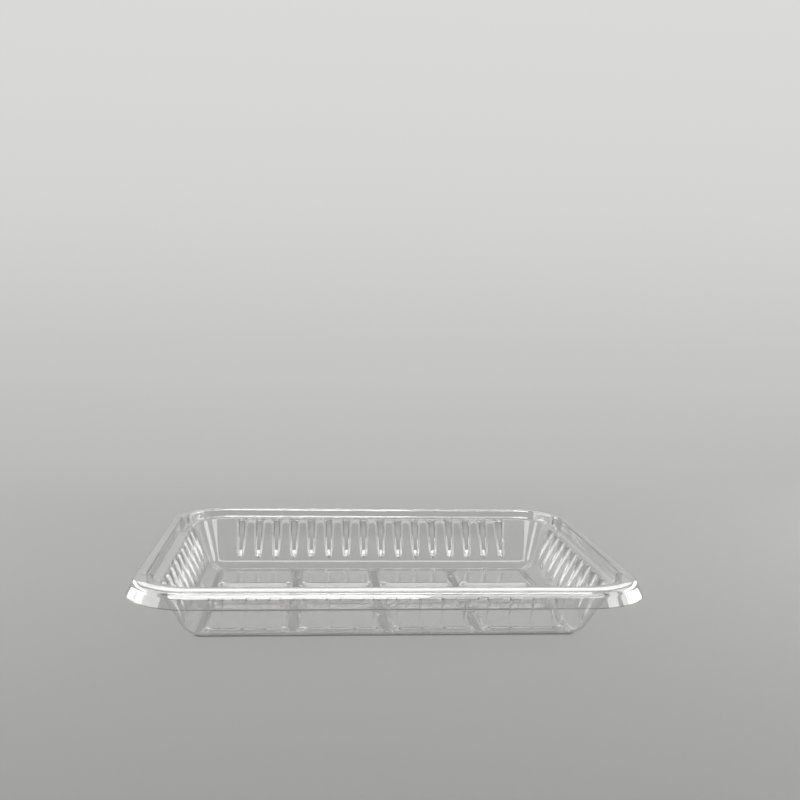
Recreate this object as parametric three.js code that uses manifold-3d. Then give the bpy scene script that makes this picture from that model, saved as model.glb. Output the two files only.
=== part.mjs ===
// Clear plastic food tray, thermoformed in one piece from a thin PET sheet.
// Raised pads stiffen the floor, upright flutes stiffen the walls, and a step inside the rim seats a lid.
// Millimetres, with +Z up, X along the long side and the underside of the floor at z = 0.
import * as THREE from "three";
import Module from "manifold-3d";

const wasm = await Module();
wasm.setup();

// Overall size, measured at the hem of the skirt, and the thickness of the formed sheet.
const trayLength = 250;
const trayWidth = 196;
const trayHeight = 32;
const sheet = 0.5;

// Rim: a flat flange with a rounded shoulder, and a skirt that hangs down and flares outwards.
const flangeWidthSide = 7.2;
const flangeWidthEnd = 9.4;
const rimCornerRadius = 30;
const shoulderWidth = 2.4;
const shoulderDrop = 2.3;
const skirtDrop = 8.2;
const skirtFlare = 3.2;

// Lid step inside the rim: a riser down to a narrow ledge, cut back into a deeper recess at each end.
const stepDrop = 5.2;
const stepDraft = 0.6;
const ledgeWidth = 2;
const recessDepth = 2.8;
const recessCornerRadius = 1.5;

// Walls: they lean outwards from the foot up to the ledge, and round the corners like cones.
const wallLeanSide = 18.6;
const wallLeanEnd = 11;
const wallTopCornerRadius = 19.7;
const wallFootCornerRadius = 9;
const footRise = 3.7;
const footChamfer = 5.8;

// Flutes: hollow ribs pressed into the walls, deepest under the ledge and fading out near the foot.
const sideFlutes = 16;
const sideFlutePitch = 10.8;
const endFlutes = 9;
const endFlutePitch = 13.35;
const fluteTopWidth = 5.7;
const fluteFootWidth = 4.2;
const fluteDepth = 3.4;
const fluteTopGap = 0.8;
const fluteFootGap = 1.8;
const fluteTip = 2.2;
const fluteTipDepth = 0.5;
const fluteTipWidthShare = 0.4;

// A flute's round section: how deep it still is half of the way out to its edge.
const fluteFlankAt = 0.5;
const fluteFlankShare = 0.72;

// Floor: pads raised in columns and rows, with channels between them and a flat margin round them.
const padColumns = 4;
const padRows = 3;
const padHeight = 2;
const padSlope = 2.6;
const padCornerRadius = 2.4;
const channelWidth = 8;
const padFieldLength = 176.8;
const padFieldWidth = 111.2;

// How finely curves are cut, and how far one body reaches past another when it is cut away.
const cornerSteps = 8;
const shoulderSteps = 3;
const padCornerSteps = 2;
const overreach = 2;

// Heights and half sizes of the inner face, worked out from the sizes above.
const ledgeTop = trayHeight - stepDrop;
const footTop = sheet + footRise;
const skirtHem = trayHeight - skirtDrop;
const rimX = trayLength / 2 - skirtFlare;
const rimY = trayWidth / 2 - skirtFlare;
const openingX = rimX - flangeWidthEnd;
const openingY = rimY - flangeWidthSide;
const openingCornerRadius = wallTopCornerRadius + ledgeWidth + stepDraft;
const ledgeX = openingX - stepDraft - ledgeWidth;
const ledgeY = openingY - stepDraft - ledgeWidth;
const footX = ledgeX - wallLeanEnd;
const footY = ledgeY - wallLeanSide;

// The leaning walls and pad slopes are as thick as the sheet across their slope, so wider when
// measured level.
const wallRise = ledgeTop - footTop;
const acrossSide = sheet * Math.hypot(1, wallLeanSide / wallRise);
const acrossEnd = sheet * Math.hypot(1, wallLeanEnd / wallRise);
const acrossFoot = sheet * Math.tan(Math.atan2(footRise, footChamfer) / 2);

// A closed body through level loops of points, each loop as long as the first and counter-clockwise.
function loft(loops) {
  const count = loops[0].length;
  const last = (loops.length - 1) * count;
  const faces = [];
  for (let start = 0; start < last; start += count) {
    for (let i = 0; i < count; i++) {
      const a = start + i;
      const b = start + ((i + 1) % count);
      faces.push(a, b, b + count, a, b + count, a + count);
    }
  }
  for (let i = 1; i + 1 < count; i++) {
    faces.push(0, i + 1, i, last, last + i, last + i + 1);
  }
  return new wasm.Manifold(
    new wasm.Mesh({
      numProp: 3,
      vertProperties: new Float32Array(loops.flat(2)),
      triVerts: new Uint32Array(faces),
    }),
  );
}

// A level rectangle with round corners at height z.
function roundedLoop(halfX, halfY, radius, z, steps = cornerSteps, centreX = 0, centreY = 0) {
  const loop = [];
  for (let quarter = 0; quarter < 4; quarter++) {
    const signX = quarter === 0 || quarter === 3 ? 1 : -1;
    const signY = quarter < 2 ? 1 : -1;
    for (let step = 0; step <= steps; step++) {
      const angle = ((quarter + step / steps) * Math.PI) / 2;
      loop.push([
        centreX + signX * (halfX - radius) + radius * Math.cos(angle),
        centreY + signY * (halfY - radius) + radius * Math.sin(angle),
        z,
      ]);
    }
  }
  return loop;
}

// How far the inner face of a wall stands from the tray's centre at height z.
function wallX(z) {
  return footX + (wallLeanEnd * (z - footTop)) / wallRise;
}

function wallY(z) {
  return footY + (wallLeanSide * (z - footTop)) / wallRise;
}

// The rim as a solid cap: its outer face, or with an inset the space that its thin sheet covers.
function rimCap(inset) {
  const shoulder = trayHeight - shoulderDrop;
  const bottom = inset > 0 ? skirtHem - overreach : skirtHem;
  const flare = (skirtFlare * (shoulder - bottom)) / (shoulder - skirtHem) - inset;
  const loops = [roundedLoop(rimX + flare, rimY + flare, rimCornerRadius + flare, bottom)];
  for (let step = 0; step <= shoulderSteps; step++) {
    const angle = ((step / shoulderSteps) * Math.PI) / 2;
    const inward = shoulderWidth * (1 - Math.cos(angle)) + inset;
    const z = shoulder + shoulderDrop * Math.sin(angle) - inset * Math.sin(angle);
    loops.push(roundedLoop(rimX - inward, rimY - inward, rimCornerRadius - inward, z));
  }
  return loft(loops);
}

// The cavity of the bowl, which is open above the rim.
function bowlInside() {
  const above = overreach / stepDrop;
  return loft([
    roundedLoop(
      footX - footChamfer,
      footY - footChamfer,
      wallFootCornerRadius - footChamfer / 2,
      sheet,
    ),
    roundedLoop(footX, footY, wallFootCornerRadius, footTop),
    roundedLoop(ledgeX, ledgeY, wallTopCornerRadius, ledgeTop),
    roundedLoop(ledgeX + ledgeWidth, ledgeY + ledgeWidth, wallTopCornerRadius + ledgeWidth, ledgeTop),
    roundedLoop(
      openingX + stepDraft * above,
      openingY + stepDraft * above,
      openingCornerRadius,
      trayHeight + overreach,
    ),
  ]);
}

// The outer face of the bowl, one sheet away from its cavity, up to just under the flange's top.
function bowlOutside() {
  const ledgeUnder = ledgeTop - sheet;
  return loft([
    roundedLoop(
      footX - footChamfer + acrossFoot,
      footY - footChamfer + acrossFoot,
      wallFootCornerRadius - footChamfer / 2,
      0,
    ),
    roundedLoop(footX + acrossEnd, footY + acrossSide, wallFootCornerRadius + sheet, footTop - sheet / 3),
    roundedLoop(
      wallX(ledgeUnder) + acrossEnd,
      wallY(ledgeUnder) + acrossSide,
      wallTopCornerRadius + sheet,
      ledgeUnder,
    ),
    roundedLoop(
      ledgeX + ledgeWidth + sheet,
      ledgeY + ledgeWidth + sheet,
      wallTopCornerRadius + ledgeWidth + sheet,
      ledgeUnder,
    ),
    roundedLoop(
      openingX + sheet,
      openingY + sheet,
      openingCornerRadius + sheet,
      trayHeight - sheet / 2,
    ),
  ]);
}

// The recess in the lid step at the end of the tray on one side of X, grown by a margin.
function endRecess(side, margin) {
  const inner = ledgeX - overreach;
  const half = openingY - openingCornerRadius + margin;
  const bottom = margin > 0 ? ledgeTop - sheet : ledgeTop;
  const top = margin > 0 ? trayHeight - sheet / 2 : trayHeight + overreach;
  const loops = [bottom, top].map((z) => {
    const draft = (stepDraft * (z - ledgeTop)) / stepDrop;
    const outer = openingX - stepDraft + recessDepth + margin + draft;
    return roundedLoop(
      (outer - inner) / 2,
      half + draft,
      recessCornerRadius + margin,
      z,
      padCornerSteps,
      (side * (outer + inner)) / 2,
    );
  });
  return loft(loops);
}

// A flute on the wall that faces a quarter turn, as a body that reaches through the wall into the
// bowl. With hollow set it is the slimmer dent that the flute leaves in the wall's outer face.
function flute(quarter, along, hollow) {
  const isSide = quarter % 2 === 0;
  const wall = isSide ? wallY : wallX;
  const across = isSide ? acrossSide : acrossEnd;
  const shift = hollow ? across : 0;
  const slim = hollow ? 2 * sheet : 0;
  const tipZ = footTop + fluteFootGap;
  const topZ = ledgeTop - fluteTopGap - (hollow ? sheet : 0);
  const run = topZ - tipZ;
  const levels = [0, fluteTip / 3, fluteTip, run];
  const loops = levels.map((rise) => {
    const share = rise / run;
    const tipShare = Math.min(1, rise / fluteTip);
    const full = fluteFootWidth + (fluteTopWidth - fluteFootWidth) * share;
    const round = Math.sqrt(tipShare);
    const half = ((full - slim) / 2) * (fluteTipWidthShare + (1 - fluteTipWidthShare) * round);
    const depth = fluteTipDepth * round + (fluteDepth - fluteTipDepth) * share;
    const flank = [fluteFlankAt * half, fluteFlankShare * depth];
    const z = tipZ + rise;
    const section = [
      [-half, -overreach],
      [-half, 0],
      [-flank[0], flank[1]],
      [0, depth],
      flank,
      [half, 0],
      [half, -overreach],
    ];
    return section.map(([u, inward]) => {
      const reach = wall(z) + shift - inward;
      const turned = [
        [along + u, reach],
        [-reach, along + u],
        [-along - u, -reach],
        [reach, -along - u],
      ];
      return [...turned[quarter], z];
    });
  });
  return loft(loops);
}

// A pad raised from the floor, or with hollow set the dent that it leaves in the underside.
function pad(centreX, centreY, hollow) {
  const lengthX = (padFieldLength - (padColumns - 1) * channelWidth) / padColumns;
  const lengthY = (padFieldWidth - (padRows - 1) * channelWidth) / padRows;
  const shrink = hollow ? sheet * Math.tan(Math.atan2(padHeight, padSlope) / 2) : 0;
  const floor = hollow ? 0 : sheet;
  const below = overreach / padHeight;
  const loops = [-below, 1].map((share) => {
    const spread = padSlope * (1 - share) - shrink;
    return roundedLoop(
      lengthX / 2 + spread,
      lengthY / 2 + spread,
      padCornerRadius + Math.max(0, spread),
      floor + padHeight * share,
      padCornerSteps,
      centreX,
      centreY,
    );
  });
  return loft(loops);
}

// Evenly spaced places either side of zero.
function spread(count, pitch) {
  return Array.from({ length: count }, (_, i) => (i - (count - 1) / 2) * pitch);
}

let outside = bowlOutside();
let inside = bowlInside();
for (const side of [-1, 1]) {
  outside = outside.add(endRecess(side, sheet));
  inside = inside.add(endRecess(side, 0));
}
for (let quarter = 0; quarter < 4; quarter++) {
  const isSide = quarter % 2 === 0;
  const places = isSide ? spread(sideFlutes, sideFlutePitch) : spread(endFlutes, endFlutePitch);
  for (const along of places) {
    outside = outside.subtract(flute(quarter, along, true));
    inside = inside.subtract(flute(quarter, along, false));
  }
}
const padPitchX = (padFieldLength + channelWidth) / padColumns;
const padPitchY = (padFieldWidth + channelWidth) / padRows;
for (const x of spread(padColumns, padPitchX)) {
  for (const y of spread(padRows, padPitchY)) {
    outside = outside.subtract(pad(x, y, true));
    inside = inside.subtract(pad(x, y, false));
  }
}
const solid = rimCap(0).subtract(rimCap(sheet)).add(outside).subtract(inside);

// The finished body with its clear, glossy plastic.
function meshOf(body, name) {
  const built = body.getMesh();
  const corners = new Float32Array(built.numVert * 3);
  for (let i = 0; i < built.numVert; i++) {
    const from = i * built.numProp;
    corners.set(built.vertProperties.subarray(from, from + 3), i * 3);
  }
  const geometry = new THREE.BufferGeometry();
  geometry.setAttribute("position", new THREE.BufferAttribute(corners, 3));
  geometry.setIndex(new THREE.BufferAttribute(built.triVerts, 1));
  const material = new THREE.MeshStandardMaterial({
    color: 0xe9eceb,
    roughness: 0.08,
    metalness: 0,
    transparent: true,
    opacity: 0.3,
  });
  const mesh = new THREE.Mesh(geometry, material);
  mesh.name = name;
  return mesh;
}

const group = new THREE.Group();
group.name = "food_tray";
group.add(meshOf(solid, "tray"));

export default group;
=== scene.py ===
import math

import bpy
import numpy as np
from mathutils import Matrix


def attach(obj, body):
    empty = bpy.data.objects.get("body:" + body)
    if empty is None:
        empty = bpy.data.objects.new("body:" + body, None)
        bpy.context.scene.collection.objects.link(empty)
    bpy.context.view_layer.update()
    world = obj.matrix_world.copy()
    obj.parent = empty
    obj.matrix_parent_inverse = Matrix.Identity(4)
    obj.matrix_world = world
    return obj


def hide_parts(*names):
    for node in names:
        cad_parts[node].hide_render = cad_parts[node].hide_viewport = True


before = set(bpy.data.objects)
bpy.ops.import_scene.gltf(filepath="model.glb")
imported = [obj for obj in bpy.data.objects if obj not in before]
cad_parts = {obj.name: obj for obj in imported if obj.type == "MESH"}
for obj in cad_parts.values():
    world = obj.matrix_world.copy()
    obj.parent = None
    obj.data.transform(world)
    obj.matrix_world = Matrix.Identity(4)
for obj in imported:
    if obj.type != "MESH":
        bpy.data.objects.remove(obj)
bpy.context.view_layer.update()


# Floor
# The flat bottom of the tray, in the same clear sheet as its walls. The mould raises three rows
# of four pads from it, which stiffen it, and leaves channels between them and a flat margin.
# Sizes are in metres and the tray stands at height zero.
MM = 0.001
SHEET = 0.5 * MM
PAD_COLUMNS = 4
PAD_ROWS = 3
PAD_HEIGHT = 2 * MM
PAD_SLOPE = 2.6 * MM
PAD_RADIUS = 2.4 * MM
CHANNEL = 8 * MM
PAD_FIELD = (176.8 * MM, 111.2 * MM)

pad_counts = (PAD_COLUMNS, PAD_ROWS)
pad_pitch = [(PAD_FIELD[axis] + CHANNEL) / pad_counts[axis] for axis in (0, 1)]
pad_half = [(pitch - CHANNEL) / 2 for pitch in pad_pitch]
pad_centres = [(np.arange(count) - (count - 1) / 2) * pitch for count, pitch in zip(pad_counts, pad_pitch)]
# How far down a pad's slope the mesh lines run, closest together at its two bends.
SLOPE_SHARES = (0, 0.09, 0.18, 0.34, 0.5, 0.66, 0.82, 0.91, 1)
LEAST_LINE_GAP = 0.15 * MM


def new_grid(name, places):
    """A grid whose points lie at places, an array of rows of points."""
    bpy.ops.object.select_all(action="DESELECT")
    rows, columns = places.shape[:2]
    bpy.ops.mesh.primitive_grid_add(x_subdivisions=columns - 1, y_subdivisions=rows - 1, size=1)
    piece = bpy.context.object
    piece.name = name
    piece.data.vertices.foreach_set("co", places.astype(np.float32).ravel())
    piece.data.update()
    return piece


def soft_ramp(share, bend=0.18):
    """Rises from 0 to 1 in a straight line with a short bend at either end."""
    share = np.clip(share, 0, 1)
    near_end = np.minimum(share, 1 - share)
    low = np.where(near_end < bend, near_end**2 / (2 * bend), near_end - bend / 2) / (1 - bend)
    return np.where(share < 0.5, low, 1 - low)


def floor_lines(axis):
    """Where the floor's mesh lines run along one axis: close together on the pads' slopes."""
    half = pad_half[axis]
    offsets = [0, half * 0.5, half - PAD_RADIUS, half - PAD_RADIUS / 2, half - PAD_RADIUS / 5]
    offsets += [half + PAD_SLOPE * share for share in SLOPE_SHARES]
    offsets = np.array(offsets)
    lines = list(np.add.outer(pad_centres[axis], np.concatenate([-offsets, offsets])).ravel())
    lines += list((pad_centres[axis][1:] + pad_centres[axis][:-1]) / 2)
    kept = []
    for line in sorted(lines):
        if not kept or line - kept[-1] > LEAST_LINE_GAP:
            kept.append(line)
    return np.array(kept)


def pad_rise(x, y):
    """How high the pads lift the floor at x and y."""
    past_x = np.min([np.abs(x - c) for c in pad_centres[0]], axis=0) - (pad_half[0] - PAD_RADIUS)
    past_y = np.min([np.abs(y - c) for c in pad_centres[1]], axis=0) - (pad_half[1] - PAD_RADIUS)
    outside = np.hypot(np.maximum(past_x, 0), np.maximum(past_y, 0)) - PAD_RADIUS
    return PAD_HEIGHT * (1 - soft_ramp(outside / PAD_SLOPE))


floor_x, floor_y = np.meshgrid(floor_lines(0), floor_lines(1))
floor_z = SHEET + pad_rise(floor_x, floor_y)
floor_sheet = new_grid("tray_floor", np.stack([floor_x, floor_y, floor_z], axis=2))


# Walls and rim
# Four leaning walls with flutes that stiffen them, a ledge for the lid, and a rim with a skirt that
# hangs from it. They are drawn from the same sheet as the floor. The mould presses the flutes of
# the far wall in sharply, and those of the near and end walls less.
LENGTH = 250 * MM
WIDTH = 196 * MM
HEIGHT = 32 * MM
SKIRT_FLARE = 3.2 * MM
SKIRT_DROP = 8.2 * MM
SHOULDER_WIDTH = 2.4 * MM
SHOULDER_DROP = 3.2 * MM
CROWN = 0.5 * MM
RIM_RADIUS = 30 * MM
FLANGE_SIDE = 7.2 * MM
FLANGE_END = 9.4 * MM
STEP_DROP = 5.2 * MM
STEP_DRAFT = 0.6 * MM
LEDGE = 2 * MM
RECESS = 2.8 * MM
WALL_LEAN_SIDE = 18.6 * MM
WALL_LEAN_END = 11 * MM
WALL_TOP_RADIUS = 19.7 * MM
WALL_FOOT_RADIUS = 9 * MM
FOOT_RISE = 3.7 * MM
FOOT_CHAMFER = 5.8 * MM
SIDE_FLUTES = 16
SIDE_PITCH = 10.8 * MM
END_FLUTES = 9
END_PITCH = 13.35 * MM
FLUTE_TOP_WIDTH = 7.2 * MM
FLUTE_FOOT_WIDTH = 4.8 * MM
SOFT_RELIEF = 0.6
FLUTE_DEPTH = 3.4 * MM
FLUTE_TIP_DEPTH = 0.9 * MM
FLUTE_TOP_GAP = 0.8 * MM
FLUTE_FOOT_GAP = 1.8 * MM
FLUTE_TIP = 2 * MM
FLUTE_TIP_WIDTH_SHARE = 0.3
CREST_SHARE_LOW = 0.3
CREST_SHARE_HIGH = 0.52
LAST_FLUTE_SHARE = 0.42
LEAST_END_GAP = 0.8 * MM
CORNER_STEPS = 18
CHAMFER_STRAIGHTNESS = 0.55
CHAMFER_BEND = 0.3
FIRST_SHOULDER_ANGLE = math.radians(12)
MERGE_GAP = 0.02 * MM

rim_half = (LENGTH / 2 - SKIRT_FLARE, WIDTH / 2 - SKIRT_FLARE)
opening_half = (rim_half[0] - FLANGE_END, rim_half[1] - FLANGE_SIDE)
opening_radius = WALL_TOP_RADIUS + LEDGE + STEP_DRAFT
ledge_half = tuple(half - STEP_DRAFT - LEDGE for half in opening_half)
ledge_z = HEIGHT - STEP_DROP
foot_half = (ledge_half[0] - WALL_LEAN_END, ledge_half[1] - WALL_LEAN_SIDE)
foot_z = SHEET + FOOT_RISE
# A flute's columns, as shares of half its width.
flute_half = np.array([0.3, 0.54, 0.68, 0.8, 0.92, 1.04])
flute_places = np.concatenate([-flute_half[::-1], flute_half])
# The columns between the last flute and the corner, and how much of the recess is left at each.
end_shares = np.array([0, 0.5, 0.8, 0.86, 0.92, 0.97])
recess_shares = np.array([1, 1, 1, 0.8, 0.25, 0])
wall_run = ledge_z - foot_z
tip_rises = [(FLUTE_FOOT_GAP + FLUTE_TIP * share) / wall_run for share in (0, 0.04, 0.15, 0.35, 0.65, 1)]
# The flutes end at the top in a sharp cut, which takes two more rows close above it.
top_rise = 1 - FLUTE_TOP_GAP / wall_run
wall_rises = [0, tip_rises[0] * 0.6, *tip_rises, *np.linspace(tip_rises[-1], top_rise, 8)[1:],
              top_rise + 0.002, top_rise + 0.02]


def flute_size(rise, relief):
    """The width and depth of a flute at a share of the wall's height, relief being 1 on the far wall."""
    height = rise * wall_run - FLUTE_FOOT_GAP
    share = min(max(height / (wall_run - FLUTE_FOOT_GAP - FLUTE_TOP_GAP), 0), 1)
    tip = math.sqrt(min(max(height / FLUTE_TIP, 0), 1))
    width = FLUTE_FOOT_WIDTH + (FLUTE_TOP_WIDTH - FLUTE_FOOT_WIDTH) * share
    width *= FLUTE_TIP_WIDTH_SHARE + (1 - FLUTE_TIP_WIDTH_SHARE) * tip
    depth = FLUTE_TIP_DEPTH * tip + (FLUTE_DEPTH - FLUTE_TIP_DEPTH) * share
    return width, depth * relief if rise <= top_rise else 0


def side_line(row, count, pitch, straight, relief, recess):
    """One side's points, as places along it and how far they stand in from it. The side has count
    flutes, straight is half the length of its straight part, and recess cuts it back."""
    rise = row.get("rise", 1 if row["z"] > foot_z else 0)
    width, depth = flute_size(rise, relief)
    if "rise" not in row:
        depth = 0
    # A flute's crest is rounder near the foot and flatter towards the ledge.
    firmness = min(max((rise - 0.2) / 0.6, 0), 1)
    flat_share = CREST_SHARE_LOW + (CREST_SHARE_HIGH - CREST_SHARE_LOW) * firmness
    crest = 1 - soft_ramp((np.abs(flute_places) - flat_share) / (1 - flat_share), 0.25)
    centres = (np.arange(count) - (count - 1) / 2) * pitch
    last = min(centres[-1] + pitch * LAST_FLUTE_SHARE, straight - LEAST_END_GAP)
    ends = last + (straight - last) * end_shares
    places = np.concatenate([-ends[::-1], np.add.outer(centres, flute_places * width / 2).ravel(), ends])
    cut = recess * recess_shares
    return places, np.concatenate([-cut[::-1], np.tile(crest * depth - recess, count), -cut])


def row_places(row):
    """The places of one row's points, once round the tray, counter-clockwise from above."""
    half_x, half_y = row["half"]
    radius = row["radius"]
    angles = math.pi / 2 + np.linspace(0, math.pi / 2, CORNER_STEPS + 1)
    quarters = []
    for quarter in range(4):
        at_end = quarter % 2 == 1
        reach, span = (half_x, half_y) if at_end else (half_y, half_x)
        flutes = (END_FLUTES, END_PITCH) if at_end else (SIDE_FLUTES, SIDE_PITCH)
        relief = 1 if quarter == 0 else SOFT_RELIEF
        straight = span - radius
        recess = row.get("recess", 0) if at_end else 0
        places, inward = side_line(row, *flutes, straight, relief, recess)
        side = np.stack([-places, reach - inward], axis=1)
        corner_centre = np.array([-straight, reach - radius])
        corner = np.stack([np.cos(angles), np.sin(angles)], axis=1) * radius + corner_centre
        cos, sin = [(1, 0), (0, 1), (-1, 0), (0, -1)][quarter]
        turned = np.concatenate([side, corner]) @ np.array([[cos, sin], [-sin, cos]])
        quarters.append(np.column_stack([turned, np.full(len(turned), row["z"])]))
    ring = np.concatenate(quarters)
    return np.concatenate([ring, ring[:1]])


def soft_start(share):
    """Rises from 0 to 1 with no kink where it starts."""
    share = min(share, 1)
    return share * (2 - share)


def inset_row(half, radius, inset, z, **more):
    """A row set in from a rounded rectangle."""
    return {"half": (half[0] - inset, half[1] - inset), "radius": radius - inset, "z": z, **more}


# One strip runs right round the tray. Its rows climb from the foot over the ledge and the rim to
# the hem of the skirt, and its columns follow the edges of the flutes.
strip_rows = []
for share in (0, 0.06, 0.15, 0.27, 0.4, 0.55, 0.7, 0.85, 0.94):
    rise = FOOT_RISE * (CHAMFER_STRAIGHTNESS * share + (1 - CHAMFER_STRAIGHTNESS) * share**2)
    rise *= soft_start(share / CHAMFER_BEND)
    strip_rows.append(inset_row(foot_half, WALL_FOOT_RADIUS, FOOT_CHAMFER * (1 - share), SHEET + rise))
for rise in wall_rises:
    half = (foot_half[0] + WALL_LEAN_END * rise, foot_half[1] + WALL_LEAN_SIDE * rise)
    radius = WALL_FOOT_RADIUS + (WALL_TOP_RADIUS - WALL_FOOT_RADIUS) * rise
    strip_rows.append({"half": half, "radius": radius, "z": foot_z + wall_run * rise, "rise": rise})
# Each row of the ledge and the step says how far it stands in from the opening, its height and
# how far its recess is cut back at the ends.
ledge_rows = [
    (STEP_DRAFT + LEDGE - 0.05 * MM, ledge_z - 0.08 * MM, 0),
    (STEP_DRAFT + LEDGE - 0.35 * MM, ledge_z, 0),
    (STEP_DRAFT + 0.5 * MM, ledge_z, RECESS),
    (STEP_DRAFT + 0.12 * MM, ledge_z + 0.12 * MM, RECESS),
    (STEP_DRAFT - 0.06 * MM, ledge_z + 0.6 * MM, RECESS),
    (STEP_DRAFT - 0.1 * MM, ledge_z + 0.9 * MM, RECESS),
    (0.12 * MM, HEIGHT - 1.1 * MM, RECESS),
    (0.08 * MM, HEIGHT - 0.8 * MM, RECESS),
    (-0.15 * MM, HEIGHT - 0.22 * MM, RECESS),
    (-0.6 * MM, HEIGHT, RECESS),
]
for inset, z, recess in ledge_rows:
    strip_rows.append(inset_row(opening_half, opening_radius, inset, z, recess=recess))
# The flange falls a little towards the shoulder, so its crown is rounded like the mould's.
for share in (0.6, 0.75, 0.88):
    inset = SHOULDER_WIDTH + (FLANGE_SIDE - SHOULDER_WIDTH) * (1 - share)
    strip_rows.append(inset_row(rim_half, RIM_RADIUS, inset, HEIGHT - CROWN * share**2))
for angle in np.linspace(FIRST_SHOULDER_ANGLE, math.pi / 2, 7):
    inset = SHOULDER_WIDTH * (1 - math.sin(angle))
    drop = CROWN + (SHOULDER_DROP - CROWN) * (1 - math.cos(angle))
    strip_rows.append(inset_row(rim_half, RIM_RADIUS, inset, HEIGHT - drop))
for share in (0.12, 0.4, 0.7, 0.92, 1):
    drop = SHOULDER_DROP + (SKIRT_DROP - SHOULDER_DROP - SHEET / 2) * share
    strip_rows.append(inset_row(rim_half, RIM_RADIUS, -(SKIRT_FLARE - SHEET) * share, HEIGHT - drop))


def select_only(piece):
    """Makes piece the only selected object, and the active one."""
    bpy.ops.object.select_all(action="DESELECT")
    piece.select_set(True)
    bpy.context.view_layer.objects.active = piece


walls = new_grid("tray_walls", np.stack([row_places(row) for row in strip_rows]))
select_only(walls)
bpy.ops.object.mode_set(mode="EDIT")
bpy.ops.mesh.select_all(action="SELECT")
bpy.ops.mesh.remove_doubles(threshold=MERGE_GAP)
bpy.ops.object.mode_set(mode="OBJECT")


# Tray
# The whole tray is one formed sheet, with nothing fixed to it. The floor and the walls are joined
# across the flat margin, and the sheet gets its thickness on its outer side.
SMOOTH_ANGLE = math.radians(40)
select_only(walls)
floor_sheet.select_set(True)
bpy.ops.object.join()
tray = bpy.context.object
tray.name = "clear_tray"
bpy.ops.object.mode_set(mode="EDIT")
bpy.ops.mesh.select_mode(type="EDGE")
bpy.ops.mesh.select_all(action="DESELECT")
bpy.ops.mesh.select_non_manifold(extend=False, use_wire=False, use_boundary=True,
                                 use_multi_face=False, use_non_contiguous=False, use_verts=False)
bpy.ops.object.mode_set(mode="OBJECT")
for edge in tray.data.edges:
    if edge.select and tray.data.vertices[edge.vertices[0]].co.z > foot_z:
        edge.select = False
bpy.ops.object.mode_set(mode="EDIT")
bpy.ops.mesh.fill(use_beauty=True)
bpy.ops.mesh.select_all(action="SELECT")
bpy.ops.mesh.normals_make_consistent(inside=False)
bpy.ops.object.mode_set(mode="OBJECT")
# What is modelled so far is the inner face, which has to look up and inwards.
if sum(face.normal.z for face in tray.data.polygons) < 0:
    tray.data.flip_normals()
thickness = tray.modifiers.new("sheet", "SOLIDIFY")
thickness.thickness = SHEET
thickness.offset = -1
thickness.use_even_offset = True
thickness.use_quality_normals = True
bpy.ops.object.modifier_apply(modifier=thickness.name)
bpy.ops.object.shade_smooth_by_angle(angle=SMOOTH_ANGLE)
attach(tray, "root")
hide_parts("tray")


# Clear plastic
# The tray's sheet is glossy PET that bends light, with faint waves where the mould chilled it. Its
# colour carries painted shade where it is seen edge-on and where it turns sharply.
def new_material(name):
    """A material, with its nodes and its links."""
    material = bpy.data.materials.new(name)
    material.use_nodes = True
    return material, material.node_tree.nodes, material.node_tree.links


def math_of(operation, *values):
    """The result of a Math node in the material being made. The values are sockets or numbers."""
    node = nodes.new("ShaderNodeMath")
    node.operation = operation
    for socket, value in zip(node.inputs, values):
        if isinstance(value, bpy.types.NodeSocket):
            links.new(value, socket)
        else:
            socket.default_value = value
    return node.outputs["Value"]


def colour_mix(share, first, second, blend="MIX"):
    """The colour that a Mix node gives in the material being made, from sockets or plain values."""
    node = nodes.new("ShaderNodeMix")
    node.data_type = "RGBA"
    node.blend_type = blend
    for name, value in (("Factor", share), ("A", first), ("B", second)):
        if isinstance(value, bpy.types.NodeSocket):
            links.new(value, node.inputs[name])
        else:
            node.inputs[name].default_value = value
    return node.outputs["Result"]


clear_plastic, nodes, links = new_material("clear_pet")
shader = nodes["Principled BSDF"]
output = nodes["Material Output"]
shader.inputs["IOR"].default_value = 1.575
shader.inputs["Transmission Weight"].default_value = 0.96
where = nodes.new("ShaderNodeTexCoord")
waves = nodes.new("ShaderNodeTexNoise")
waves.inputs["Scale"].default_value = 60
waves.inputs["Detail"].default_value = 1.5
waves.inputs["Roughness"].default_value = 0.4
links.new(where.outputs["Object"], waves.inputs["Vector"])
bump = nodes.new("ShaderNodeBump")
bump.inputs["Strength"].default_value = 0.05
bump.inputs["Distance"].default_value = 0.3 * MM
links.new(waves.outputs["Fac"], bump.inputs["Height"])
links.new(bump.outputs["Normal"], shader.inputs["Normal"])
scuffs = nodes.new("ShaderNodeTexNoise")
scuffs.inputs["Scale"].default_value = 260
scuffs.inputs["Detail"].default_value = 5
links.new(where.outputs["Object"], scuffs.inputs["Vector"])
gloss = nodes.new("ShaderNodeMapRange")
gloss.inputs["From Min"].default_value = 0.35
gloss.inputs["From Max"].default_value = 0.75
gloss.inputs["To Min"].default_value = 0.01
gloss.inputs["To Max"].default_value = 0.045
links.new(scuffs.outputs["Fac"], gloss.inputs["Value"])
links.new(gloss.outputs["Result"], shader.inputs["Roughness"])
tint = colour_mix(waves.outputs["Fac"], (0.995, 0.995, 0.992, 1), (0.97, 0.97, 0.966, 1))
# Painted shade: where the sheet is seen edge-on its colour turns dark, which draws a dark outline.
edge_on = nodes.new("ShaderNodeLayerWeight")
edge_on.inputs["Blend"].default_value = 0.5
painted_outline_share = math_of("POWER", edge_on.outputs["Facing"], 5)
painted_outline_colour = colour_mix(painted_outline_share, tint, (0.05, 0.055, 0.055, 1))
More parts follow.
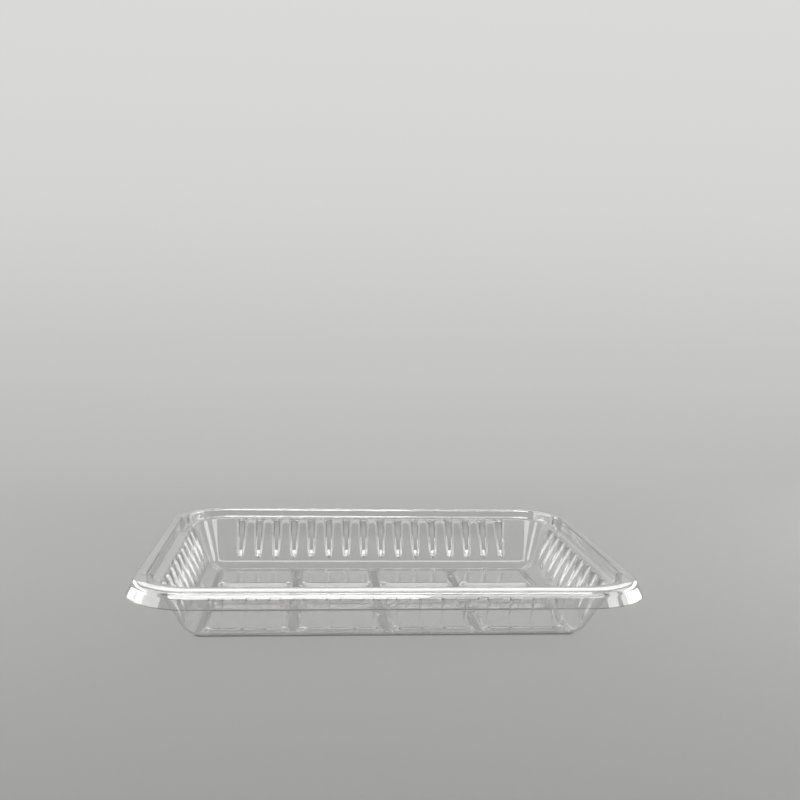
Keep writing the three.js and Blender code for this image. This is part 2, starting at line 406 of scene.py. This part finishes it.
# Painted shade: where the sheet turns sharply its colour is darkened, so its creases look darker.
surface = nodes.new("ShaderNodeNewGeometry")
painted_crease_shade_share = nodes.new("ShaderNodeMapRange")
painted_crease_shade_share.inputs["From Min"].default_value = 0.02
painted_crease_shade_share.inputs["From Max"].default_value = 0.09
painted_crease_shade_share.inputs["To Max"].default_value = 0.9
crease_size = math_of("ABSOLUTE", math_of("SUBTRACT", surface.outputs["Pointiness"], 0.5))
links.new(crease_size, painted_crease_shade_share.inputs["Value"])
painted_crease_shade_colour = colour_mix(painted_crease_shade_share.outputs["Result"], painted_outline_colour, (0.2, 0.205, 0.205, 1))
links.new(painted_crease_shade_colour, shader.inputs["Base Color"])
# Light from the lamps goes straight through the sheet to the paper.
lamp_light = nodes.new("ShaderNodeBsdfTransparent")
lamp_light.inputs["Color"].default_value = (0.985, 0.985, 0.983, 1)
rays = nodes.new("ShaderNodeLightPath")
straight_on = math_of("MAXIMUM", rays.outputs["Is Shadow Ray"], rays.outputs["Is Diffuse Ray"])
through = nodes.new("ShaderNodeMixShader")
links.new(straight_on, through.inputs["Fac"])
links.new(shader.outputs["BSDF"], through.inputs[1])
links.new(lamp_light.outputs["BSDF"], through.inputs[2])
links.new(through.outputs["Shader"], output.inputs["Surface"])
# Light that runs a long way inside the sheet, as along a bent edge, comes out darker.
depth_tint = nodes.new("ShaderNodeVolumeAbsorption")
depth_tint.inputs["Color"].default_value = (0.4, 0.4, 0.39, 1)
depth_tint.inputs["Density"].default_value = 50
links.new(depth_tint.outputs["Volume"], output.inputs["Volume"])
tray.data.materials.clear()
tray.data.materials.append(clear_plastic)


# Table and backdrop
# Matt grey paper lies flat under the tray, curves up behind it and gets lighter as it rises, a
# painted gradient of light in its colour. The tray only stands on it.
SWEEP_HALF = 3.2
SWEEP_FRONT = -1.5
SWEEP_BEND = 1.5
SWEEP_RADIUS = 0.8
SWEEP_TOP = 2.6
SWEEP_GAP = 0.2 * MM
bends = np.linspace(0, math.pi / 2, 25)
sweep_y = [SWEEP_FRONT, 0, *(SWEEP_BEND + SWEEP_RADIUS * np.sin(bends)), SWEEP_BEND + SWEEP_RADIUS]
sweep_z = [0, 0, *(SWEEP_RADIUS * (1 - np.cos(bends))), SWEEP_TOP]
sweep_rows = [[(x, y, z - SWEEP_GAP) for x in (-SWEEP_HALF, SWEEP_HALF)] for y, z in zip(sweep_y, sweep_z)]
sweep = new_grid("paper_sweep", np.array(sweep_rows))
select_only(sweep)
bpy.ops.object.shade_smooth()

paper, nodes, links = new_material("grey_paper")
paper_shader = nodes["Principled BSDF"]
paper_shader.inputs["Roughness"].default_value = 0.85
paper_shader.inputs["Specular IOR Level"].default_value = 0.15
where = nodes.new("ShaderNodeTexCoord")
parts = nodes.new("ShaderNodeSeparateXYZ")
links.new(where.outputs["Object"], parts.inputs["Vector"])
# Distance along the paper is close enough to depth plus height.
RUN_START = -0.3
RUN_END = 3.7
run = math_of("ADD", parts.outputs["Y"], parts.outputs["Z"])
along = nodes.new("ShaderNodeMapRange")
along.inputs["From Min"].default_value = RUN_START
along.inputs["From Max"].default_value = RUN_END
links.new(run, along.inputs["Value"])


def tone_ramp(tones):
    """A colour ramp along the paper, from pairs of a distance and a grey as linear light."""
    ramp = nodes.new("ShaderNodeValToRGB")
    stops = ramp.color_ramp.elements
    while len(stops) < len(tones):
        stops.new(0.5)
    for stop, (distance, grey) in zip(stops, tones):
        stop.position = (distance - RUN_START) / (RUN_END - RUN_START)
        stop.color = (grey, grey, grey * 0.993, 1)
    links.new(along.outputs["Result"], ramp.inputs["Fac"])
    return ramp


# The paper's grey under the lamps, with a painted gradient of light that makes it lighter further
# back, and the painted glow of its tone as it is seen far behind the tray.
PAINTED_FALLOFF_GREYS = [(-0.3, 0.342), (-0.22, 0.358), (-0.07, 0.403), (0.08, 0.434), (0.33, 0.47), (0.76, 0.52),
             (1.9, 0.57), (3.7, 0.7)]
PAINTED_GLOW_TONES = [(-0.3, 0.33), (-0.16, 0.376), (0.08, 0.462), (0.33, 0.492), (0.76, 0.523), (1.9, 0.568),
              (2.45, 0.632), (2.7, 0.66), (3.3, 0.7), (3.7, 0.72)]
painted_falloff_ramp = tone_ramp(PAINTED_FALLOFF_GREYS)
glow = nodes.new("ShaderNodeEmission")
links.new(tone_ramp(PAINTED_GLOW_TONES).outputs["Color"], glow.inputs["Color"])
# Far behind the tray the paper glows with its painted tone instead of being lit, and near it it is
# lit and takes shadows.
far_share = nodes.new("ShaderNodeMapRange")
far_share.interpolation_type = "SMOOTHSTEP"
far_share.inputs["From Min"].default_value = 0.15
far_share.inputs["From Max"].default_value = 0.5
links.new(run, far_share.inputs["Value"])
rays = nodes.new("ShaderNodeLightPath")
seen = math_of("MAXIMUM", rays.outputs["Is Camera Ray"], rays.outputs["Is Glossy Ray"])
seen = math_of("MAXIMUM", seen, rays.outputs["Is Transmission Ray"])
glow_share = math_of("MULTIPLY", seen, far_share.outputs["Result"])
paper_mix = nodes.new("ShaderNodeMixShader")
links.new(glow_share, paper_mix.inputs["Fac"])
links.new(paper_shader.outputs["BSDF"], paper_mix.inputs[1])
links.new(glow.outputs["Emission"], paper_mix.inputs[2])
links.new(paper_mix.outputs["Shader"], nodes["Material Output"].inputs["Surface"])
# Light is scarce in the narrow gap beside the tray's foot.
contact = nodes.new("ShaderNodeAmbientOcclusion")
contact.samples = 8
contact.inputs["Distance"].default_value = 0.6 * MM
shaded = colour_mix(0.75, painted_falloff_ramp.outputs["Color"], contact.outputs["Color"], "MULTIPLY")
links.new(shaded, paper_shader.inputs["Base Color"])
sweep.data.materials.append(paper)

world = bpy.data.worlds.new("studio")
bpy.context.scene.world = world
world.use_nodes = True
room = world.node_tree.nodes["Background"]
room.inputs["Color"].default_value = (0.5, 0.5, 0.5, 1)
room.inputs["Strength"].default_value = 0.2


# Lamps
# Soft boxes stand round the tray as in a small studio, and glossy plastic shows their faces as
# highlights. Each is a flat rectangle of even light.
def soft_lamp(name, place, size, brightness, target=(0, 0, 0.015)):
    """A soft box at place that faces target and looks as bright as brightness, white being 1."""
    bpy.ops.object.light_add(type="AREA", location=place)
    lamp = bpy.context.object
    lamp.name = name
    lamp.data.shape = "RECTANGLE"
    lamp.data.size, lamp.data.size_y = size
    lamp.data.energy = brightness * math.pi * size[0] * size[1]
    direction = np.array(target) - np.array(place)
    flat = math.hypot(direction[0], direction[1])
    lamp.rotation_euler = (math.atan2(flat, -direction[2]), 0, math.atan2(-direction[0], direction[1]))
    return lamp


soft_lamp("overhead_strip", (0, -0.17, 1.2), (1.4, 0.27), 2.6)
soft_lamp("high_back_box", (0, 1.1, 1.15), (1.8, 0.6), 1.7)
soft_lamp("low_back_box", (0, 1.9, 1.14), (2.6, 0.6), 1.4)
soft_lamp("left_box", (-1.0, -0.08, 0.55), (0.86, 1.06), 2.8, (0, -0.08, 0.4))
soft_lamp("right_box", (1.0, 0.05, 0.55), (0.6, 1.06), 3.2, (0, 0.05, 0.4))
soft_lamp("right_front_box", (0.85, -0.5, 0.42), (0.3, 0.7), 3.6, (0, 0, 0.1))
# These cards only show as highlights, along the near rim and on the flutes of the end walls.
for name, place, size, brightness, target in [
    ("near_card", (-0.08, -0.345, 0.42), (0.66, 0.21), 14, (-0.08, -0.345, 0)),
    ("front_card", (-0.7, -1.6, 0.65), (1.8, 0.9), 13, (-0.7, 0, 0.65)),
    ("front_right_card", (0.8, -1.6, 0.65), (1.2, 0.9), 6, (0.8, 0, 0.65)),
    ("left_card", (-0.92, 0.42, 0.2), (1.1, 0.38), 5, (0, 0, 0.2)),
    ("right_card", (0.95, 0.35, 0.2), (1.05, 0.38), 5, (0, 0, 0.2)),
]:
    card = soft_lamp(name, place, size, brightness, target)
    card.visible_diffuse = False
    card.visible_camera = False
    card.visible_transmission = False


# Camera
# It stands in front of a long side, a little to the left, and looks down over the near rim.
# Its place, angles and focal length were fitted to the tray's outline in the photograph.
FOCAL_PIXELS = 985.75
PICTURE_PIXELS = 800
SENSOR = 36
CAMERA_PLACE = (-0.03749, -0.53063, 0.15929)
PITCH, YAW, ROLL = 0.0918, -0.0874, 0.0223

bpy.ops.object.camera_add(location=CAMERA_PLACE)
camera = bpy.context.object
camera.data.sensor_width = SENSOR
camera.data.lens = SENSOR * (FOCAL_PIXELS / PICTURE_PIXELS)
camera.data.clip_start = 0.01
camera.data.clip_end = 20
# Forward, right and top are the directions of the view, of the picture's rows and of its columns.
forward = np.array([-math.sin(YAW) * math.cos(PITCH), math.cos(YAW) * math.cos(PITCH), -math.sin(PITCH)])
level = np.array([math.cos(YAW), math.sin(YAW), 0])
above = np.cross(level, forward)
right = level * math.cos(ROLL) + above * math.sin(ROLL)
top = -level * math.sin(ROLL) + above * math.cos(ROLL)
camera.rotation_euler = Matrix(np.stack([right, top, -forward], axis=1).tolist()).to_euler("XYZ")

scene = bpy.context.scene
scene.camera = camera
scene.view_settings.view_transform = "Standard"
scene.cycles.max_bounces = 28
scene.cycles.transmission_bounces = 24
scene.cycles.transparent_max_bounces = 24
scene.cycles.glossy_bounces = 6
scene.cycles.diffuse_bounces = 3
scene.cycles.caustics_refractive = False
scene.cycles.caustics_reflective = False
